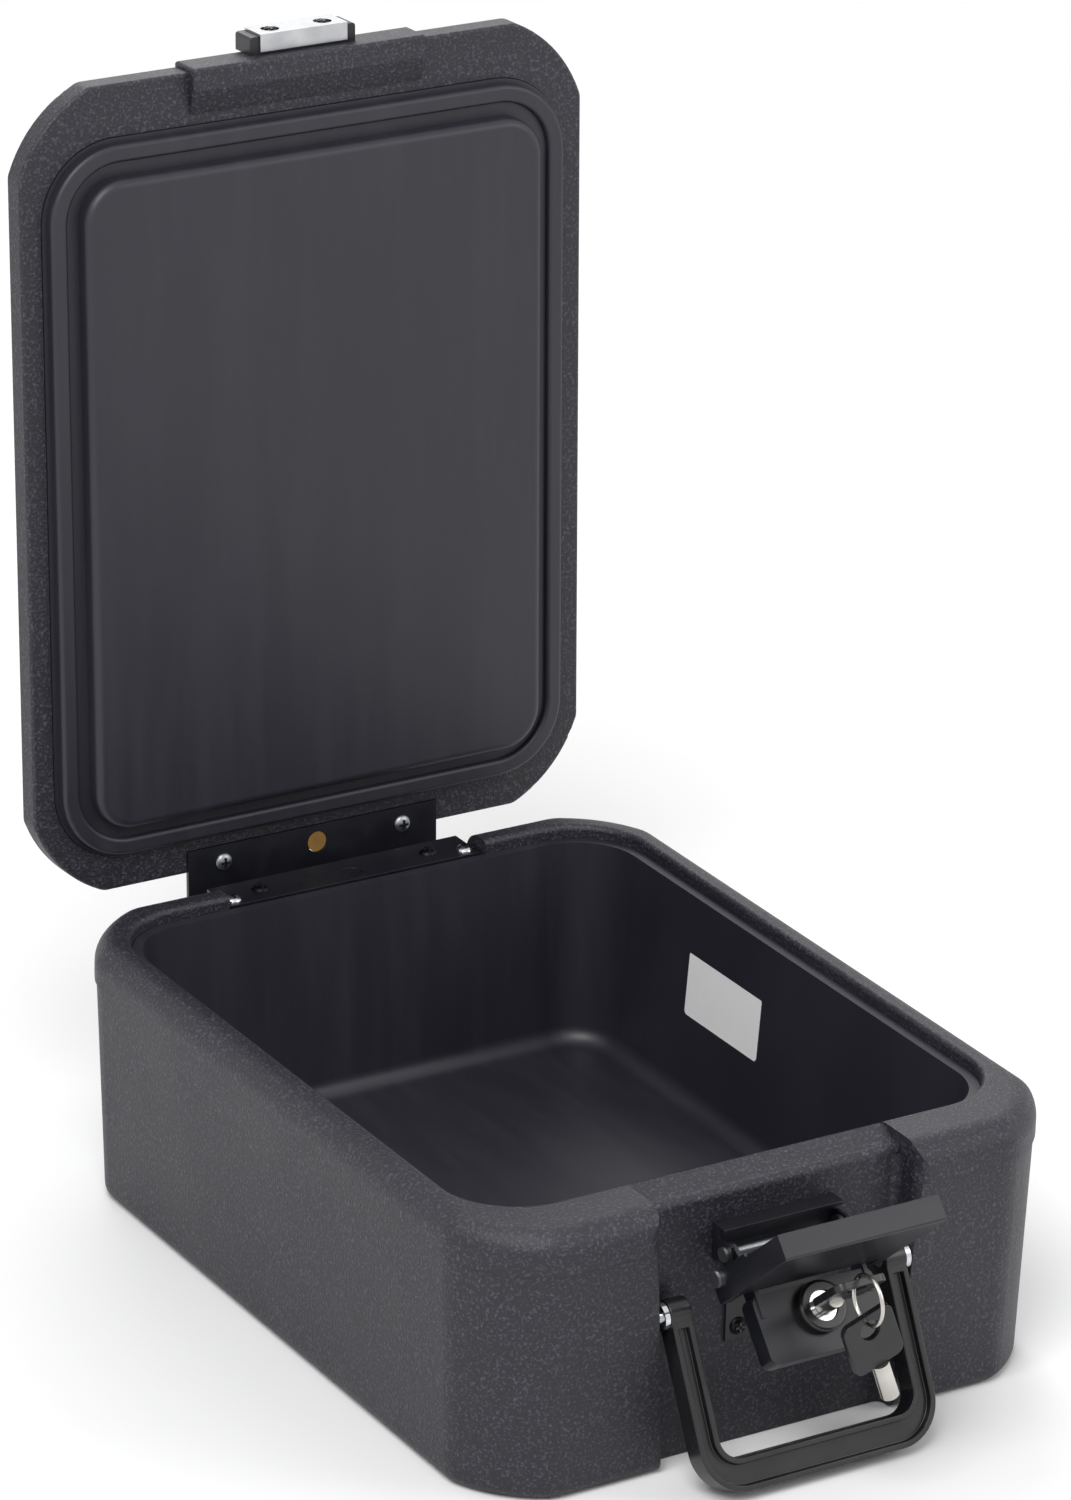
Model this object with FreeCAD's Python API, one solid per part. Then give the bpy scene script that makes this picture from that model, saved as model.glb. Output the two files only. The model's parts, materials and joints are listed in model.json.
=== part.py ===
import FreeCAD, Part
import math
import os
from FreeCAD import Vector as V

# Lockable fire-resistant cash box, lid open, latch open, handle resting on the table.
# Millimetres. Origin under the middle of the base, +Z up, the latch side faces -Y.
# Lid, latch and handle are drawn in their closed places and then turned to the rest pose.

# Base: double-walled tub
base_w = 285.0
base_d = 374.0
rim_z = 122.0
parting_z = 104.0
wall_draft = 3.6
rim_step = 0.8
rim_round = 11.0
foot_round = 6.0
corner_x = 34.0
corner_y = 37.0
corner_r = 62.0
base_kink_r = 20.0
shell_wall = 3.0
roof_t = 12.0

# Mouth of the base, where the lid plugs in
rim_side = 14.0
rim_front = 30.0
rim_back = 17.0
mouth_half_w = base_w / 2 - rim_side
mouth_front = base_d / 2 - rim_front
mouth_back = base_d / 2 - rim_back
mouth_r = 34.0
mouth_round = 2.5
ledge_drop = 6.0
ledge_w = 4.8
flange_t = 3.0
liner_wall = 2.5
liner_draft = 7.0
liner_round = 8.0
floor_z = 20.0

# Recess for the latch in the front wall, and the sloped rim above it
recess_deep = 15.0
handle_half = 57.0
recess_flare = 5.0
recess_y = base_d / 2 - recess_deep
recess_top_half = handle_half + recess_flare
recess_foot_half = handle_half
recess_edge_r = 6.0
recess_inner_r = 4.0
notch_fall = 4.2
notch_run = 10.5
notch_round = 4.0
notch_dip = 0.6
bend_along = 0.72
bend_down = 0.3

# Lid: double-walled cover with a stepped plug
lid_narrower = 6.0
lid_front_in = 5.5
lid_back_in = 0.5
lid_w = base_w - lid_narrower
lid_front = base_d / 2 - lid_front_in
lid_back = base_d / 2 - lid_back_in
lid_kink_r = 8.0
lid_band = 12.0
lid_edge_r = 1.5
shoulder = 20.0
crown_h = 6.0
crown_in = 8.0
crown_bulge = 0.7
lid_gap = 0.4
plug_lip = 0.8
plug_lip_out = 1.0
plug_gap = 1.0
ring_w = 8.0
ring_h = 5.9
ring_round = 2.0
groove_w = 6.0
groove_floor = 3.0
panel_h = 11.4
panel_round = 4.0
plate_t = 2.0
plate_out = 6.0
tab_side_gap = 4.5
tab_proud = 2.5
tab_deep = 18.5
tab_half = recess_top_half - tab_side_gap
tab_front = lid_front + tab_proud
tab_drop = 5.0
tab_back = lid_front - tab_deep
tab_flat = 10.0

# Hinge at the back: two bent leaves on one pin
hinge_out = 9.5
lid_leaf_w = 10.5
base_leaf_gap = 2.5
hinge_y = base_d / 2 + hinge_out
hinge_z = 107.0
lid_open = 92.0
leaf_half = 64.0
leaf_t = 2.0
leaf_proud = 0.8
leaf_in = lid_back - lid_leaf_w
base_leaf_in = mouth_back + base_leaf_gap
knuckle_r = 4.5
knuckle_count = 5
knuckle_gap = 0.4
hinge_pin_r = 2.2
back_notch_drop = 8.0
back_notch_gap = 1.5
lid_screw_end = 18.0
base_screw_end = 21.0
end_screw_end = 4.5
lid_screw_x = leaf_half - lid_screw_end
lid_screw_in = 2.5
base_screw_in = 4.0
end_screw_in = 8.5
lid_screw_y = lid_back - lid_screw_in
base_screw_x = leaf_half - base_screw_end
base_screw_y = base_d / 2 - base_screw_in
end_screw_x = leaf_half - end_screw_end
end_screw_y = base_d / 2 - end_screw_in
fill_hole_r = 5.0
fill_hole_x = 2.0
base_port_in = 7.0

# Screws
screw_r = 2.0
head_r = 4.0
head_h = 2.0
screw_l = 12.0
socket_r = 1.6
socket_deep = 1.2

# Latch: mounting plate, lever, claw and keeper
latch_pin_out = 10.0
box_deep = 4.5
roof_deep = 9.0
lever_out = 18.0
latch_pin_y = recess_y + latch_pin_out
latch_pin_z = 93.0
latch_pin_r = 2.0
lever_tilt = 40.0
claw_lean = 49.0
sheet = 1.5
mount_half = 22.0
mount_low = 47.5
box_half = 29.0
box_top = 103.0
box_low = 87.0
box_front = recess_y + box_deep
roof_front = recess_y + roof_deep
ear_reach = 4.5
ear_low = 88.0
ear_high = 98.0
lever_half = 29.0
lever_face = recess_y + lever_out
lever_low = 42.6
lever_high = 72.4
lever_t = 2.0
lever_deep = 10.0
lever_corner = 4.0
arm_gap = 0.5
arm_half_w = 4.5
claw_pin_out = 4.3
claw_pin_down = 9.8
claw_pin_r = 2.2
claw_half = 38.5
claw_len = 57.0
claw_below = 5.0
claw_off = 9.6
claw_step_z = 110.0
claw_slot_half = 33.0
claw_slot_up = 6.0
claw_round = 1.2
cheek_deep = 12.5
lip_deep = 11.0
keeper_half = 26.0
keeper_plate_half = 21.5
keeper_low = 123.6
keeper_high = 138.0
keeper_out = 9.2
keeper_plate_t = 1.2
keeper_skirt = 8.0
keeper_screw_x = 13.0
plate_screw_in = 6.0
plate_screw_drop = 8.0
pin_cap = 1.6

# Lock in the lever, with its tubular keys on a ring
lock_z = 61.0
bezel_r = 11.0
bezel_h = 4.5
barrel_r = 9.0
barrel_l = 14.0
nut_half = 12.5
nut_t = 4.0
plug_r = 6.5
post_r = 2.4
slot_r = 4.1
slot_deep = 7.0
cam_t = 2.0
cam_len = 15.0
cam_half_w = 4.0
cam_round = 2.4
plug_sunk = 1.0
key_tube_r = 3.9
key_bore_r = 2.6
key_tube_l = 17.0
key_in = 6.0
bow_w = 24.0
bow_l = 25.0
bow_t = 3.2
bow_corner = 4.0
bow_hole_r = 4.6
bow_hole_in = 7.0
ring_r = 10.5
ring_wire = 0.9
spare_lean = 20.0
spare_tuck = 0.0
spare_slack = 1.1

# Carrying handle: a bail on two studs
stud_out = 9.0
stud_y = recess_y + stud_out
handle_lean = 27.0
handle_reach = 70.0
handle_bar = 14.0
handle_arm = 10.0
handle_t = 11.0
handle_outer_r = 20.0
handle_inner_r = 9.0
handle_groove = 3.0
groove_margin = 2.6
eye_r = 6.5
stud_r = 3.0
stud_flange_r = 6.0
stud_sink = 8.0
stud_clear = 0.35
table_gap = 0.3

# Fits
run_gap = 0.1
seat_gap = 0.3
over = 5.0

# Derived heights
void_top = rim_z - roof_t
ledge_z = rim_z - ledge_drop
lid_z = rim_z + lid_gap
lid_band_top = lid_z + lid_band
notch_z = rim_z - back_notch_drop
handle_end = handle_reach + handle_bar / 2
stud_z = (handle_end * math.cos(math.radians(handle_lean))
          + handle_t / 2 * math.sin(math.radians(handle_lean)) + table_gap)
X_AXIS = V(1, 0, 0)
Y_AXIS = V(0, 1, 0)
Z_AXIS = V(0, 0, 1)


def box(x0, x1, y0, y1, z0, z1):
    return Part.makeBox(x1 - x0, y1 - y0, z1 - z0, V(x0, y0, z0))


def rod(r, length, start, axis):
    return Part.makeCylinder(r, length, start, axis)


def arc(a, b, c):
    return Part.Arc(a, b, c).toShape()


def line(a, b):
    return Part.LineSegment(a, b).toShape()


def prism(wire, height):
    return Part.Face(wire).extrude(V(0, 0, height))


def loft(*wires):
    return Part.makeLoft(list(wires), True, True)


def mid_arc(centre, start, end):
    """Point halfway along the short arc from start to end about centre."""
    half = (start - centre) + (end - centre)
    half.normalize()
    return centre + half * (start - centre).Length


def turned(shape, angle, y, z):
    """Turn about an X axis through (y, z); positive carries +Y towards +Z."""
    copy = shape.copy()
    copy.rotate(V(0, y, z), X_AXIS, angle)
    return copy


def flat_edges(shape, z):
    """Edges that lie wholly at height z."""
    return [e for e in shape.Edges if max(abs(e.BoundBox.ZMin - z), abs(e.BoundBox.ZMax - z)) < 1e-4]


def outline(half_w, front, back, kink, inset, z):
    """Plan of the box: straight sides and bowed corners, each bow eased into the sides."""
    mid_y = (back - front) / 2
    half_d = (front + back) / 2
    chord = V(-corner_x, corner_y, 0)
    middle = V(half_w - corner_x / 2, half_d - corner_y / 2, 0)
    inward = V(-corner_y, -corner_x, 0)
    inward.normalize()
    centre = middle + inward * math.sqrt(corner_r ** 2 - (chord.Length / 2) ** 2)
    big = corner_r - inset
    small = max(kink - inset, 1.0)
    side = half_w - inset
    end = half_d - inset
    c1 = V(side - small, centre.y + math.sqrt((big - small) ** 2 - (side - small - centre.x) ** 2), 0)
    c2 = V(centre.x + math.sqrt((big - small) ** 2 - (end - small - centre.y) ** 2), end - small, 0)
    t1 = V(side, c1.y, 0)
    t2 = centre + (c1 - centre) * (big / (big - small))
    t3 = centre + (c2 - centre) * (big / (big - small))
    t4 = V(c2.x, end, 0)
    corner = [(t1, mid_arc(c1, t1, t2), t2), (t2, mid_arc(centre, t2, t3), t3),
              (t3, mid_arc(c2, t3, t4), t4)]
    edges = []
    last = None
    first = None
    for sx, sy in ((1, 1), (-1, 1), (-1, -1), (1, -1)):
        arcs = corner if sx * sy > 0 else [(c, b, a) for a, b, c in reversed(corner)]
        for trio in arcs:
            a, b, c = [V(p.x * sx, p.y * sy + mid_y, z) for p in trio]
            if last is not None and (a - last).Length > 1e-6:
                edges.append(line(last, a))
            if first is None:
                first = a
            edges.append(arc(a, b, c))
            last = c
    edges.append(line(last, first))
    return Part.Wire(edges)


def base_plan(inset, z):
    return outline(base_w / 2, base_d / 2, base_d / 2, base_kink_r, inset, z)


def lid_plan(inset, z):
    return outline(lid_w / 2, lid_front, lid_back, lid_kink_r, inset, z)


def mouth_plan(inset, z):
    """Rounded rectangle of the base's mouth, moved inwards by inset."""
    return rounded(mouth_half_w - inset, -mouth_front + inset, mouth_back - inset, mouth_r - inset, z)


def rounded(half_w, y0, y1, r, z):
    corners = [(half_w - r, y1 - r, 0), (-half_w + r, y1 - r, 90),
               (-half_w + r, y0 + r, 180), (half_w - r, y0 + r, 270)]
    points = []
    for x, y, start in corners:
        for turn in (0, 45, 90):
            a = math.radians(start + turn)
            points.append(V(x + r * math.cos(a), y + r * math.sin(a), z))
    edges = []
    for i in range(4):
        a, b, c = points[3 * i:3 * i + 3]
        edges.append(arc(a, b, c))
        edges.append(line(c, points[(3 * i + 3) % 12]))
    return Part.Wire(edges)


def side_face(points, half_w):
    """Solid whose outline in the YZ plane is given, from -half_w to +half_w."""
    wire = Part.makePolygon([V(-half_w, y, z) for y, z in points + points[:1]])
    return Part.Face(wire).extrude(V(2 * half_w, 0, 0))


def recess_plan(half, depth_y, z):
    """Plan of the cutter for the latch recess, with eased outer corners."""
    front = -base_d / 2
    r = recess_edge_r
    q = recess_inner_r
    right = [V(half + r, front - over, z), V(half + r, front, z), V(half, front + r, z),
             V(half, depth_y - q, z), V(half - q, depth_y, z)]
    out_mid = mid_arc(V(half + r, front + r, z), right[1], right[2])
    in_mid = mid_arc(V(half - q, depth_y - q, z), right[3], right[4])
    left = [V(-p.x, p.y, z) for p in right]
    edges = [line(right[0], right[1]), arc(right[1], out_mid, right[2]), line(right[2], right[3]),
             arc(right[3], in_mid, right[4]), line(right[4], left[4]),
             arc(left[4], V(-in_mid.x, in_mid.y, z), left[3]), line(left[3], left[2]),
             arc(left[2], V(-out_mid.x, out_mid.y, z), left[1]), line(left[1], left[0]),
             line(left[0], right[0])]
    return Part.Wire(edges)


def recess_cutter(depth_y, grow):
    slope = (recess_top_half - recess_foot_half) / rim_z
    low = recess_foot_half + grow - slope * over
    high = recess_top_half + grow + slope * over
    return loft(recess_plan(low, depth_y, -over), recess_plan(high, depth_y, rim_z + over))


def notch_cutter():
    """What is cut from the front rim above the recess: a slope that rounds into the wall."""
    top = rim_z + over
    start = V(0, -mouth_front - notch_round / 4, rim_z - notch_dip)
    slope_end = V(0, start.y - notch_run, start.z - notch_fall)
    wall = V(0, -recess_y, slope_end.z - notch_round)
    bend = V(0, slope_end.y - (slope_end.y - wall.y) * bend_along, slope_end.z - notch_round * bend_down)
    reach = -base_d / 2 - over
    corners = [V(0, reach, wall.z), V(0, reach, top), V(0, start.y, top)]
    edges = [arc(slope_end, bend, wall), line(wall, corners[0]), line(corners[0], corners[1]),
             line(corners[1], corners[2]), line(corners[2], start), line(start, slope_end)]
    face = Part.Face(Part.Wire(edges))
    face.translate(V(-base_w / 2, 0, 0))
    return face.extrude(V(base_w, 0, 0)).common(recess_cutter(-mouth_front, 0))


def base_blank():
    low = loft(base_plan(wall_draft + rim_step, 0), base_plan(rim_step, parting_z))
    low = low.makeFillet(foot_round, flat_edges(low, 0))
    rim = prism(base_plan(0, parting_z), rim_z - parting_z)
    rim = rim.makeFillet(rim_round, flat_edges(rim, rim_z))
    return low.fuse(rim)


def base_void(gap):
    """Space between the outer wall and the liner, drawn in by gap on every side."""
    inset = shell_wall + gap + rim_step
    space = loft(base_plan(wall_draft + inset, shell_wall + gap), base_plan(inset, void_top))
    return space.cut(recess_cutter(-recess_y + shell_wall + gap, shell_wall + gap))


def liner_block(grow, inner):
    """Tub shape of the liner: its hollow if inner, else its outside, grown by grow."""
    top = ledge_w if inner else ledge_w - liner_wall
    low_z = floor_z if inner else floor_z - liner_wall - grow
    high_z = ledge_z + over if inner else ledge_z - flange_t
    block = loft(mouth_plan(top + liner_draft - grow, low_z), mouth_plan(top - grow, high_z))
    return block.makeFillet(liner_round, flat_edges(block, low_z))


def base_shell(holes):
    mouth = prism(mouth_plan(0, void_top - over), rim_z + 2 * over - void_top)
    shell = base_blank().cut(mouth)
    inner_edges = [e for e in flat_edges(shell, rim_z) if e.BoundBox.XMax < mouth_half_w + 0.1
                   and e.BoundBox.XMin > -mouth_half_w - 0.1 and e.BoundBox.YMax < mouth_back + 0.1
                   and e.BoundBox.YMin > -mouth_front - 0.1]
    shell = shell.makeFillet(mouth_round, inner_edges)
    shell = shell.cut(recess_cutter(-recess_y, 0))
    shell = shell.cut(notch_cutter())
    half = leaf_half + back_notch_gap
    shell = shell.cut(box(-half, half, mouth_back - over, base_d, notch_z, rim_z + over))
    return shell.cut([base_void(0)] + holes)


def base_liner():
    flange = prism(mouth_plan(seat_gap, ledge_z - flange_t), flange_t)
    return liner_block(0, False).fuse(flange).cut(liner_block(0, True))


def base_fill(holes):
    ring = prism(mouth_plan(seat_gap, void_top), ledge_z - flange_t - void_top)
    return base_void(seat_gap).fuse(ring).cut([liner_block(seat_gap, False)] + holes)


def lid_open_pose(shape):
    return turned(shape, -lid_open, hinge_y, hinge_z)


def lid_blank():
    band = prism(lid_plan(0, lid_z), lid_band)
    band = band.makeFillet(lid_edge_r, flat_edges(band, lid_z) + flat_edges(band, lid_band_top))
    top = lid_band_top + shoulder
    slope = loft(lid_plan(lid_edge_r, lid_band_top), lid_plan(shoulder + lid_edge_r, top))
    crown = loft(lid_plan(shoulder + lid_edge_r, top),
                 lid_plan(shoulder + crown_in / 2, top + crown_h * crown_bulge),
                 lid_plan(shoulder + crown_in, top + crown_h))
    return band.fuse([slope, crown])


def tab_block():
    flat_end = -tab_front + tab_flat
    points = [(-tab_front, lid_band_top), (-tab_front, lid_z - tab_drop), (flat_end, lid_z - tab_drop),
              (-tab_back, lid_z - plug_lip), (-tab_back, lid_band_top)]
    tab = side_face(points, tab_half)
    low_z = lid_z - tab_drop
    corners = [e for e in tab.Edges if abs(e.BoundBox.ZMin - low_z) < 0.01 and e.BoundBox.XLength < 0.01
               or e.BoundBox.YMax < -tab_front + 0.01]
    return tab.makeFillet(lid_edge_r, corners)


def lid_void(gap):
    """Space inside the lid above the liner plate, drawn in by gap."""
    wall = shell_wall + gap
    low = prism(lid_plan(wall, lid_z + shell_wall), lid_band - shell_wall)
    top = lid_band_top + shoulder
    slope = loft(lid_plan(wall + lid_edge_r, lid_band_top - wall / 2),
                 lid_plan(wall + shoulder + lid_edge_r, top - wall / 2))
    crown = loft(lid_plan(wall + shoulder + lid_edge_r, top - wall / 2),
                 lid_plan(wall + shoulder + crown_in, top + crown_h - wall))
    tab_room = box(-tab_half - gap, tab_half + gap, -base_d, -tab_back + gap, 0, 2 * rim_z)
    return low.fuse([slope, crown]).cut(tab_room)


def lid_shell(holes):
    mouth = prism(mouth_plan(-plug_lip_out - seat_gap, lid_z - over), shell_wall + 2 * over)
    leaf_seat = box(-leaf_half - seat_gap, leaf_half + seat_gap, leaf_in - seat_gap, base_d,
                    lid_z - over, lid_z + leaf_t - leaf_proud)
    return lid_blank().fuse(tab_block()).cut([lid_void(0), mouth, leaf_seat] + holes)


def lid_liner():
    """Stepped plug: a low lip, a raised ring, a groove and the wide panel inside it."""
    plate_z = lid_z + shell_wall
    plate = prism(mouth_plan(-plate_out, plate_z), plate_t)
    lip = prism(mouth_plan(-plug_lip_out, lid_z - plug_lip), shell_wall + plug_lip)
    ring_z = lid_z - ring_h
    ring = prism(mouth_plan(plug_gap, ring_z), ring_h)
    groove_in = plug_gap + ring_w
    ring = ring.cut(prism(mouth_plan(groove_in, ring_z - over), over + ring_h - groove_floor))
    ring = ring.makeFillet(ring_round, flat_edges(ring, ring_z))
    panel_in = groove_in + groove_w
    panel = prism(mouth_plan(panel_in, lid_z - panel_h), panel_h)
    panel = panel.makeFillet(panel_round, flat_edges(panel, lid_z - panel_h))
    pocket_z = lid_z - panel_h + liner_wall
    pocket = prism(mouth_plan(panel_in + liner_wall, pocket_z), panel_h + shell_wall + plate_t)
    return plate.fuse([lip, ring, panel]).cut(pocket)


def lid_fill(holes):
    plate_top = lid_z + shell_wall + plate_t
    low = box(-lid_w, lid_w, -base_d, base_d, 0, plate_top)
    pocket_in = plug_gap + ring_w + groove_w + liner_wall + seat_gap
    pocket_z = lid_z - panel_h + liner_wall
    boss = prism(mouth_plan(pocket_in, pocket_z), plate_top - pocket_z)
    return lid_void(seat_gap).cut(low).fuse(boss).cut(holes)


def knuckle_spans(own):
    """X ranges of the knuckles: the base has the odd ones out, the lid those between."""
    pitch = 2 * (leaf_half - 1) / knuckle_count
    spans = []
    for i in range(knuckle_count):
        if i % 2 == own:
            start = -leaf_half + 1 + i * pitch
            spans.append((start + knuckle_gap / 2, start + pitch - knuckle_gap / 2))
    return spans


def leaf(plate, leg_y, leg_top, own, holes):
    """Bent leaf: a plate, a leg down to the pin and the knuckles on it."""
    clear = hinge_z + knuckle_r + 2 * knuckle_gap
    shape = plate.fuse(box(-leaf_half, leaf_half, leg_y, leg_y + leaf_t, clear, leg_top))
    for x0, x1 in knuckle_spans(own):
        web = box(x0, x1, leg_y, leg_y + leaf_t, hinge_z, clear)
        shape = shape.fuse([web, rod(knuckle_r, x1 - x0, V(x0, hinge_y, hinge_z), X_AXIS)])
    bore = rod(hinge_pin_r + run_gap, 2 * leaf_half, V(-leaf_half, hinge_y, hinge_z), X_AXIS)
    return shape.cut([bore] + holes).removeSplitter()


def base_leaf(holes):
    leg_y = hinge_y - knuckle_r
    plate = box(-leaf_half, leaf_half, base_leaf_in, leg_y + leaf_t, notch_z, notch_z + leaf_t)
    return leaf(plate, leg_y, notch_z + leaf_t, 0, holes)


def lid_leaf(holes):
    leg_y = hinge_y + knuckle_r - leaf_t
    low = lid_z - leaf_proud
    plate = box(-leaf_half, leaf_half, leaf_in, leg_y + leaf_t, low, low + leaf_t)
    return leaf(plate, leg_y, low + leaf_t, 1, holes)


def screw(at, axis, length):
    """Pan-head screw: at is under the head, axis points along the shank."""
    out = V(0, 0, 0) - axis
    head = rod(head_r, head_h, at, out)
    rim = [e for e in head.Edges if (e.CenterOfMass - at - out * head_h).Length < 0.01]
    head = head.makeFillet(head_h / 3, rim)
    socket = rod(socket_r, socket_deep, at + out * head_h, axis)
    return head.fuse(rod(screw_r, length, at, axis)).cut(socket).removeSplitter()


def screw_hole(at, axis, length):
    return rod(screw_r + run_gap, length + seat_gap, at, axis)


def fill_plug(y, low, high):
    return rod(fill_hole_r - seat_gap, high - low, V(fill_hole_x, y, low), Z_AXIS)


def fill_hole(y, low, high):
    return rod(fill_hole_r, high - low, V(fill_hole_x, y, low), Z_AXIS)


def mount_plate(holes):
    """Latch plate on the recess wall, with a box above it whose ears hold the lever pin."""
    wall = -recess_y
    front = -box_front
    back = wall - sheet
    plate = box(-mount_half, mount_half, back, wall, mount_low, box_top)
    roof = box(-box_half, box_half, -roof_front, wall, box_top - sheet, box_top)
    face = box(-box_half, box_half, front, front + sheet, box_low, box_top)
    shape = plate.fuse([roof, face])
    tip = -latch_pin_y - ear_reach
    for side in (-1, 1):
        x0 = min(side * box_half, side * (box_half - sheet))
        shape = shape.fuse(box(x0, x0 + sheet, front, wall, box_low, box_top))
        shape = shape.fuse(box(x0, x0 + sheet, tip, front, ear_low, ear_high))
    bore = rod(latch_pin_r + run_gap, 4 * box_half, V(-2 * box_half, -latch_pin_y, latch_pin_z), X_AXIS)
    return shape.cut([bore] + holes).removeSplitter()


def cross_pin(half, r, y, z, head):
    """Pin along X with a low head at each end."""
    pin = rod(r, 2 * half, V(-half, y, z), X_AXIS)
    caps = [rod(r * pin_cap, head, V(x, y, z), X_AXIS) for x in (-half - head, half)]
    return pin.fuse(caps).removeSplitter()


claw_pin_y = -latch_pin_y - claw_pin_out
claw_pin_z = latch_pin_z - claw_pin_down


def lever():
    """Pressed lever: a shallow tray that carries the lock and two arms up to its pin."""
    face_y = -lever_face
    outer = box(-lever_half, lever_half, face_y, face_y + lever_deep, lever_low, lever_high)
    corners = [e for e in outer.Edges if e.BoundBox.YLength > lever_deep - 0.01]
    outer = outer.makeFillet(lever_corner, corners)
    inner = box(-lever_half + lever_t, lever_half - lever_t, face_y + lever_t, face_y + 2 * lever_deep,
                lever_low + lever_t, lever_high + over)
    shape = outer.cut(inner)
    arm_x = box_half - sheet - arm_gap
    for side in (-1, 1):
        x0 = min(side * arm_x, side * (arm_x - lever_t))
        pivot = V(x0, -latch_pin_y, latch_pin_z)
        knee = V(x0, claw_pin_y, claw_pin_z)
        tail = box(x0, x0 + lever_t, knee.y - arm_half_w, knee.y + arm_half_w,
                   lever_high - lever_deep, knee.z)
        web = Part.Face(Part.makePolygon(strap_points(knee, pivot))).extrude(V(lever_t, 0, 0))
        ends = [rod(arm_half_w, lever_t, p, X_AXIS) for p in (pivot, knee)]
        shape = shape.fuse([tail, web] + ends)
    cuts = [rod(latch_pin_r + run_gap, 4 * box_half, V(-2 * box_half, -latch_pin_y, latch_pin_z), X_AXIS),
            rod(claw_pin_r + run_gap, 4 * box_half, V(-2 * box_half, claw_pin_y, claw_pin_z), X_AXIS),
            rod(barrel_r + run_gap, 2 * lever_deep, V(0, face_y - lever_t, lock_z), Y_AXIS)]
    return shape.cut(cuts).removeSplitter()


def strap_points(a, b):
    """Four corners and the closing point of a straight strap from a to b."""
    along = b - a
    across = V(0, -along.z, along.y)
    across.normalize()
    across = across * arm_half_w
    return [a + across, b + across, b - across, a - across, a + across]


def claw():
    """Hood over the keeper: front plate, two cheeks and the lip that hooks over it."""
    out_y = claw_pin_y - claw_off
    low = claw_pin_z - claw_below
    high = claw_pin_z + claw_len
    outer = box(-claw_half, claw_half, out_y, out_y + cheek_deep, low, high)
    rim = [e for e in outer.Edges if e.BoundBox.YMax < out_y + 0.01 and e.BoundBox.ZMin > low + 0.01]
    outer = outer.makeFillet(claw_round, rim)
    inner = box(-claw_half + sheet, claw_half - sheet, out_y + sheet, out_y + 2 * cheek_deep,
                low - over, high - sheet)
    trim = box(-claw_half, claw_half, out_y + lip_deep, out_y + 2 * cheek_deep, claw_step_z, high + over)
    slot = box(-claw_slot_half, claw_slot_half, out_y - over, out_y + over,
               low - over, claw_pin_z + claw_slot_up)
    bore = rod(claw_pin_r + run_gap, 4 * claw_half, V(-2 * claw_half, claw_pin_y, claw_pin_z), X_AXIS)
    return outer.cut([inner, trim, slot, bore])


def keeper_body(holes):
    front = -tab_front - keeper_out + keeper_plate_t
    block = box(-keeper_half, keeper_half, front, -tab_front, keeper_low + keeper_plate_t, keeper_high)
    ends = [e for e in block.Edges if e.BoundBox.ZLength > 1 and e.BoundBox.YMax < front + 0.01]
    return block.makeFillet(lid_edge_r, ends).cut(holes)


def keeper_plate(holes):
    """Bent striker plate over the front and the underside of the keeper."""
    front = -tab_front - keeper_out
    face = box(-keeper_plate_half, keeper_plate_half, front, front + keeper_plate_t, keeper_low, keeper_high)
    skirt = box(-keeper_plate_half, keeper_plate_half, front, front + keeper_skirt, keeper_low,
                keeper_low + keeper_plate_t)
    return face.fuse(skirt).removeSplitter().cut(holes)


def lock_body():
    face_y = -lever_face
    bezel = rod(bezel_r, bezel_h, V(0, face_y, lock_z), -Y_AXIS)
    rim = [e for e in bezel.Edges if abs(e.CenterOfMass.y - face_y + bezel_h) < 0.01]
    bezel = bezel.makeFillet(bezel_h / 3, rim)
    barrel = rod(barrel_r, barrel_l, V(0, face_y, lock_z), Y_AXIS)
    bore = rod(plug_r + run_gap, barrel_l + 2 * bezel_h, V(0, face_y - bezel_h, lock_z), Y_AXIS)
    return bezel.fuse(barrel).cut(bore).removeSplitter()


def lock_nut():
    start = -lever_face + lever_t
    points = []
    for i in range(7):
        a = math.radians(60 * i)
        points.append(V(nut_half * math.cos(a), start, lock_z + nut_half * math.sin(a)))
    nut = Part.Face(Part.makePolygon(points)).extrude(V(0, nut_t, 0))
    return nut.cut(rod(barrel_r + run_gap, 3 * nut_t, V(0, start - nut_t, lock_z), Y_AXIS))


def lock_plug():
    face_y = -lever_face - bezel_h + plug_sunk
    tail = -lever_face + barrel_l
    plug = rod(plug_r, tail - face_y, V(0, face_y, lock_z), Y_AXIS)
    post = rod(post_r, slot_deep, V(0, face_y, lock_z), Y_AXIS)
    slot = rod(slot_r, slot_deep, V(0, face_y, lock_z), Y_AXIS).cut(post)
    spigot = rod(screw_r, cam_t, V(0, tail, lock_z), Y_AXIS)
    return plug.cut(slot).fuse(spigot)


def lock_cam(holes):
    tail = -lever_face + barrel_l
    cam = box(-cam_half_w, cam_half_w, tail, tail + cam_t, lock_z - cam_len + cam_half_w, lock_z + cam_half_w)
    ends = [e for e in cam.Edges if e.BoundBox.YLength > cam_t - 0.01]
    return cam.makeFillet(cam_round, ends).cut(holes)


def key_tube(face_y):
    """Tube that enters the lock: it starts key_in behind face_y and points to -Y."""
    start = V(0, face_y + key_in, lock_z)
    bore = rod(key_bore_r, key_tube_l - 2 * sheet, start, -Y_AXIS)
    return rod(key_tube_r, key_tube_l, start, -Y_AXIS).cut(bore)


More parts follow.
